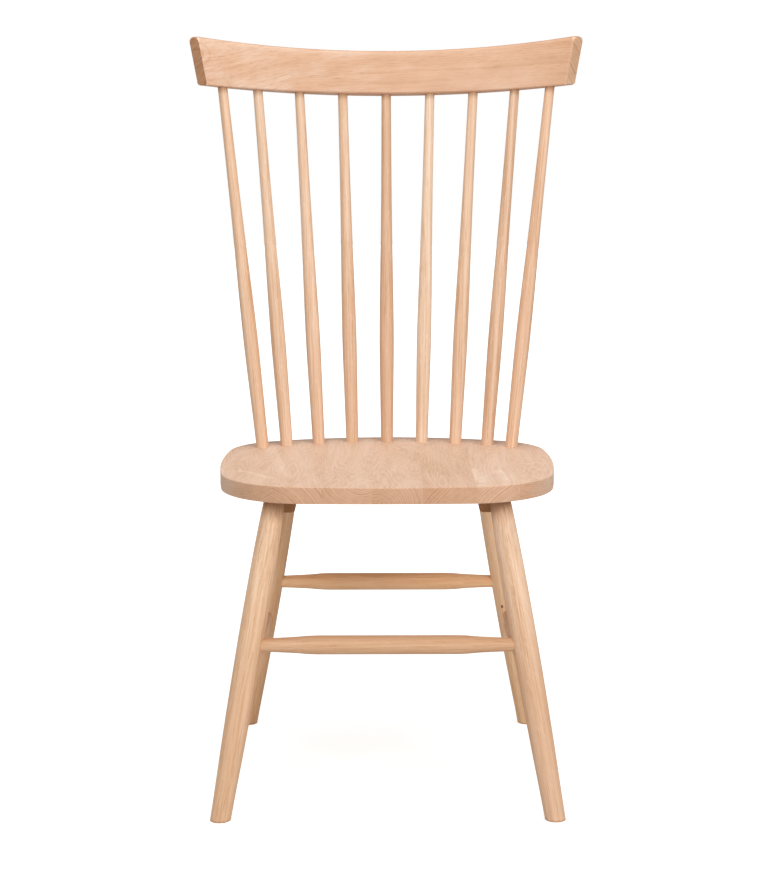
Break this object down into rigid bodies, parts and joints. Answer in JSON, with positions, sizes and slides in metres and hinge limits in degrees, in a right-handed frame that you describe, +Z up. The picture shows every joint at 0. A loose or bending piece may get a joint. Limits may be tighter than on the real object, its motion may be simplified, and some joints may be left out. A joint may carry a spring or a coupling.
{
  "type": "side chair",
  "caption": "Oak side chair with turned, splayed legs and stretchers, a dished seat glued up from boards, and a fan of tapered spindles under a bent crest rail.",
  "frame": {"origin": "on the floor, under the middle of the chair's bounding box", "axes": "+Z up; the chair faces -Y, with its back leaning towards +Y; +X is to the right for someone who looks at its front"},
  "size_m": [0.5932, 0.5681, 1.0567],
  "materials": {
    "seat_oak": "bare oak, sanded",
    "crest_oak": "bare oak, sanded",
    "spindle_oak": "bare oak, turned and sanded",
    "leg_oak": "bare oak, turned and sanded",
    "stretcher_oak": "bare oak, turned and sanded",
    "batten_oak": "bare oak, planed",
    "screw_steel": "zinc plated"
  },
  "bodies": {
    "root": {"seat_board_1": "seat_oak", "seat_board_2": "seat_oak", "seat_board_3": "seat_oak", "seat_board_4": "seat_oak", "seat_board_5": "seat_oak", "seat_board_6": "seat_oak", "seat_board_7": "seat_oak", "crest_rail": "crest_oak", "spindle_1": "spindle_oak", "spindle_2": "spindle_oak", "spindle_3": "spindle_oak", "spindle_4": "spindle_oak", "spindle_5": "spindle_oak", "spindle_6": "spindle_oak", "spindle_7": "spindle_oak", "spindle_8": "spindle_oak", "spindle_9": "spindle_oak", "leg_front_left": "leg_oak", "leg_front_right": "leg_oak", "leg_rear_left": "leg_oak", "leg_rear_right": "leg_oak", "stretcher_front": "stretcher_oak", "stretcher_rear": "stretcher_oak", "stretcher_left": "stretcher_oak", "stretcher_right": "stretcher_oak", "batten_left": "batten_oak", "batten_right": "batten_oak", "batten_screw_front_left": "screw_steel", "batten_screw_front_right": "screw_steel", "batten_screw_rear_left": "screw_steel", "batten_screw_rear_right": "screw_steel"}
  },
  "joints": []
}
